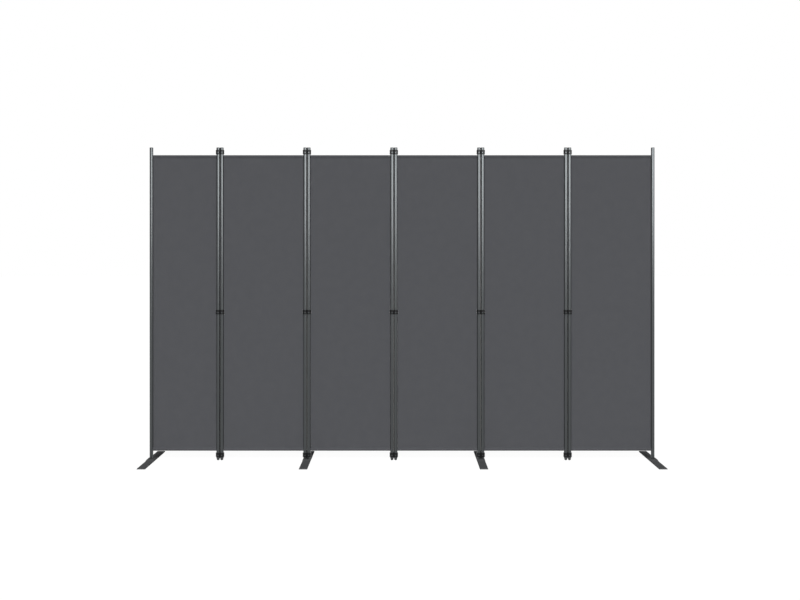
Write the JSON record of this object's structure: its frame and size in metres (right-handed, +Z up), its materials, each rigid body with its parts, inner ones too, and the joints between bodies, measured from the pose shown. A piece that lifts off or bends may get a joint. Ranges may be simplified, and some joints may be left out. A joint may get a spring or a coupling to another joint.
{
  "type": "folding screen",
  "caption": "Folding room divider: flat fabric panels between upright steel poles, joined in pairs by plastic double sleeves, on flat cross feet.",
  "frame": {"origin": "on the floor, midway between the two end poles along the screen and in the plane of the poles' axes", "axes": "+X along the screen to the right as seen from the front, -Y to the front, +Z up"},
  "size_m": [2.936, 0.425, 1.803],
  "materials": {
    "pole_steel": "satin powder coat",
    "rail_steel": "satin powder coat",
    "foot_steel": "fine textured powder coat",
    "sleeve_plastic": "moulded, semi-gloss",
    "plug_plastic": "moulded, satin",
    "zinc_steel": "zinc plated",
    "polyester": "plain woven polyester"
  },
  "bodies": {
    "panel_1": {"panel_1_left_pole": "pole_steel", "panel_1_right_pole": "pole_steel", "panel_1_end_plugs": "plug_plastic", "panel_1_rails": "rail_steel", "panel_1_rail_screws": "zinc_steel", "panel_1_fabric": "polyester", "left_end_foot": "foot_steel", "left_end_foot_bolts": "zinc_steel"},
    "panel_2": {"panel_2_left_pole": "pole_steel", "panel_2_right_pole": "pole_steel", "panel_2_end_plugs": "plug_plastic", "panel_2_rails": "rail_steel", "panel_2_rail_screws": "zinc_steel", "panel_2_fabric": "polyester"},
    "panel_3": {"panel_3_left_pole": "pole_steel", "panel_3_right_pole": "pole_steel", "panel_3_end_plugs": "plug_plastic", "panel_3_rails": "rail_steel", "panel_3_rail_screws": "zinc_steel", "panel_3_fabric": "polyester"},
    "panel_4": {"panel_4_left_pole": "pole_steel", "panel_4_right_pole": "pole_steel", "panel_4_end_plugs": "plug_plastic", "panel_4_rails": "rail_steel", "panel_4_rail_screws": "zinc_steel", "panel_4_fabric": "polyester"},
    "panel_5": {"panel_5_left_pole": "pole_steel", "panel_5_right_pole": "pole_steel", "panel_5_end_plugs": "plug_plastic", "panel_5_rails": "rail_steel", "panel_5_rail_screws": "zinc_steel", "panel_5_fabric": "polyester"},
    "panel_6": {"panel_6_left_pole": "pole_steel", "panel_6_right_pole": "pole_steel", "panel_6_end_plugs": "plug_plastic", "panel_6_rails": "rail_steel", "panel_6_rail_screws": "zinc_steel", "panel_6_fabric": "polyester", "right_end_foot": "foot_steel", "right_end_foot_bolts": "zinc_steel"},
    "link_1": {"hinge_1_top_sleeve": "sleeve_plastic", "hinge_1_middle_sleeve": "sleeve_plastic", "hinge_1_bottom_sleeve": "sleeve_plastic"},
    "link_2": {"hinge_2_top_sleeve": "sleeve_plastic", "hinge_2_middle_sleeve": "sleeve_plastic", "hinge_2_bottom_sleeve": "sleeve_plastic", "left_middle_foot": "foot_steel", "left_middle_foot_bolts": "zinc_steel"},
    "link_3": {"hinge_3_top_sleeve": "sleeve_plastic", "hinge_3_middle_sleeve": "sleeve_plastic", "hinge_3_bottom_sleeve": "sleeve_plastic"},
    "link_4": {"hinge_4_top_sleeve": "sleeve_plastic", "hinge_4_middle_sleeve": "sleeve_plastic", "hinge_4_bottom_sleeve": "sleeve_plastic", "right_middle_foot": "foot_steel", "right_middle_foot_bolts": "zinc_steel"},
    "link_5": {"hinge_5_top_sleeve": "sleeve_plastic", "hinge_5_middle_sleeve": "sleeve_plastic", "hinge_5_bottom_sleeve": "sleeve_plastic"}
  },
  "joints": [
    {"name": "link_3_to_panel_4", "type": "hinge", "parent": "link_3", "child": "panel_4", "pos_m": [-0.037, 0, 0], "axis": [0, 0, 1], "range_deg": [-75, 75]},
    {"name": "panel_4_to_link_4", "type": "hinge", "parent": "panel_4", "child": "link_4", "pos_m": [0.443, 0, 0], "axis": [0, 0, -1], "range_deg": [-75, 75]},
    {"name": "link_4_to_panel_5", "type": "hinge", "parent": "link_4", "child": "panel_5", "pos_m": [0.464, 0, 0], "axis": [0, 0, -1], "range_deg": [-75, 75]},
    {"name": "panel_5_to_link_5", "type": "hinge", "parent": "panel_5", "child": "link_5", "pos_m": [0.944, 0, 0], "axis": [0, 0, 1], "range_deg": [-75, 75]},
    {"name": "link_5_to_panel_6", "type": "hinge", "parent": "link_5", "child": "panel_6", "pos_m": [0.965, 0, 0], "axis": [0, 0, 1], "range_deg": [-75, 75]},
    {"name": "link_3_to_panel_3", "type": "hinge", "parent": "link_3", "child": "panel_3", "pos_m": [-0.058, 0, 0], "axis": [0, 0, -1], "range_deg": [-75, 75]},
    {"name": "panel_3_to_link_2", "type": "hinge", "parent": "panel_3", "child": "link_2", "pos_m": [-0.538, 0, 0], "axis": [0, 0, 1], "range_deg": [-75, 75]},
    {"name": "link_2_to_panel_2", "type": "hinge", "parent": "link_2", "child": "panel_2", "pos_m": [-0.559, 0, 0], "axis": [0, 0, 1], "range_deg": [-75, 75]},
    {"name": "panel_2_to_link_1", "type": "hinge", "parent": "panel_2", "child": "link_1", "pos_m": [-1.039, 0, 0], "axis": [0, 0, -1], "range_deg": [-75, 75]},
    {"name": "link_1_to_panel_1", "type": "hinge", "parent": "link_1", "child": "panel_1", "pos_m": [-1.06, 0, 0], "axis": [0, 0, -1], "range_deg": [-75, 75]}
  ]
}
